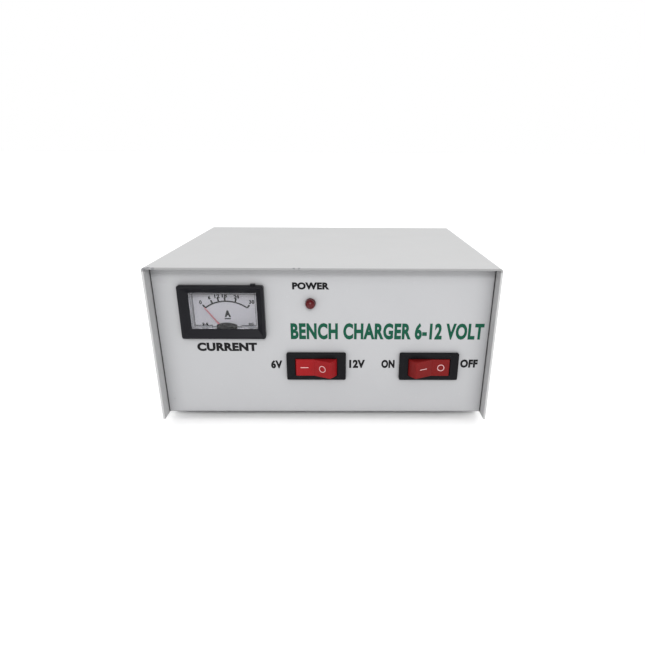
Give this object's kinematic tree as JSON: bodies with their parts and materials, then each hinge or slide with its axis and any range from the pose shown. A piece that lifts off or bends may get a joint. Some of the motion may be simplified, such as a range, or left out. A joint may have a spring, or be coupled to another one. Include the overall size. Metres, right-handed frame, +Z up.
{
  "type": "car battery charger",
  "caption": "Box-shaped bench battery charger in bent sheet metal, with a panel ammeter, a power lamp and rocker switches on its front.",
  "frame": {"origin": "on the ground under the middle of the whole object", "axes": "+Z up, the front panel faces -Y, +X to the right seen from the front"},
  "size_m": [0.1756, 0.135, 0.0874],
  "materials": {
    "case_paint": "satin powder coat",
    "panel_paint": "satin powder coat",
    "plated_steel": "zinc plated",
    "foot_rubber": "matt",
    "grommet_rubber": "matt",
    "meter_black": "semi-gloss",
    "meter_clear": "clear moulded plastic",
    "dial_white": "matt",
    "magnet_steel": "ground",
    "needle_red": "satin",
    "copper": "enamelled wire",
    "brass": "satin",
    "lamp_red": "diffused",
    "switch_black": "matt",
    "rocker_red": "satin",
    "core_steel": "varnished laminations",
    "bobbin_nylon": "natural nylon",
    "winding_tape": "tape over enamelled wire",
    "sink_aluminium": "mill finish",
    "rectifier_black": "moulded epoxy",
    "fuse_clear": "clear",
    "wire_blue": "insulation",
    "wire_yellow": "insulation",
    "wire_red": "insulation"
  },
  "bodies": {
    "case": {"base_nuts": "plated_steel", "base_screws": "plated_steel", "chassis": "panel_paint", "cover": "case_paint", "cover_screws": "plated_steel", "dial_plate": "dial_white", "feet": "foot_rubber", "foot_nuts": "plated_steel", "foot_screws": "plated_steel", "fuse_holder": "switch_black", "fuse_holder_nut": "switch_black", "fuse_holder_tail": "plated_steel", "hairspring": "brass", "heat_sink": "sink_aluminium", "lamp_wires": "wire_red", "led_clip": "switch_black", "mains_grommet": "grommet_rubber", "mains_wires": "wire_blue", "meter_bezel": "meter_black", "meter_body": "meter_black", "meter_bridge": "meter_black", "meter_core": "magnet_steel", "meter_magnet": "magnet_steel", "meter_nuts": "brass", "meter_studs": "brass", "meter_window": "meter_clear", "meter_yoke": "plated_steel", "output_grommet": "grommet_rubber", "output_wire": "wire_red", "power_led": "lamp_red", "power_switch_housing": "switch_black", "power_terminals": "brass", "primary_winding": "winding_tape", "rectifier": "rectifier_black", "rectifier_screw": "plated_steel", "rectifier_tabs": "plated_steel", "secondary_winding": "winding_tape", "secondary_wires": "wire_yellow", "transformer_bobbin": "bobbin_nylon", "transformer_core": "core_steel", "transformer_frame": "plated_steel", "transformer_pads": "foot_rubber", "voltage_switch_housing": "switch_black", "voltage_terminals": "brass"},
    "voltage_rocker_body": {"voltage_rocker": "rocker_red", "voltage_plunger": "bobbin_nylon", "voltage_plunger_spring": "plated_steel"},
    "voltage_lever_body": {"voltage_contact_lever": "brass"},
    "power_rocker_body": {"power_rocker": "rocker_red", "power_plunger": "bobbin_nylon", "power_plunger_spring": "plated_steel"},
    "power_lever_body": {"power_contact_lever": "brass"},
    "needle": {"pointer": "needle_red", "moving_coil": "copper"},
    "fuse_carrier": {"fuse_cap": "switch_black", "fuse_glass": "fuse_clear", "fuse_ends": "plated_steel"}
  },
  "joints": [
    {"name": "voltage_rocker", "type": "hinge", "parent": "case", "child": "voltage_rocker_body", "pos_m": [-0.0043, -0.0577, 0.0333], "axis": [0, 0, 1], "range_deg": [0, 24]},
    {"name": "voltage_lever", "type": "hinge", "parent": "case", "child": "voltage_lever_body", "pos_m": [-0.0043, -0.0492, 0.0333], "axis": [0, 0, 1], "range_deg": [-16.1, 0]},
    {"name": "power_rocker", "type": "hinge", "parent": "case", "child": "power_rocker_body", "pos_m": [0.0548, -0.0577, 0.0333], "axis": [0, 0, -1], "range_deg": [0, 24]},
    {"name": "power_lever", "type": "hinge", "parent": "case", "child": "power_lever_body", "pos_m": [0.0548, -0.0492, 0.0333], "axis": [0, 0, -1], "range_deg": [-16.1, 0]},
    {"name": "needle_swing", "type": "hinge", "parent": "case", "child": "needle", "pos_m": [-0.0501, -0.0499, 0.0498], "axis": [0, 1, 0], "range_deg": [0, 74.3], "stiffness_Nm_per_rad": 0.00002},
    {"name": "fuse_draw", "type": "slide", "parent": "case", "child": "fuse_carrier", "axis": [0, 1, 0], "range_m": [0, 0.036]}
  ],
  "couplings": [
    {"joint": "voltage_lever", "follows": "voltage_rocker", "ratio": -0.66667},
    {"joint": "power_lever", "follows": "power_rocker", "ratio": -0.66667}
  ]
}
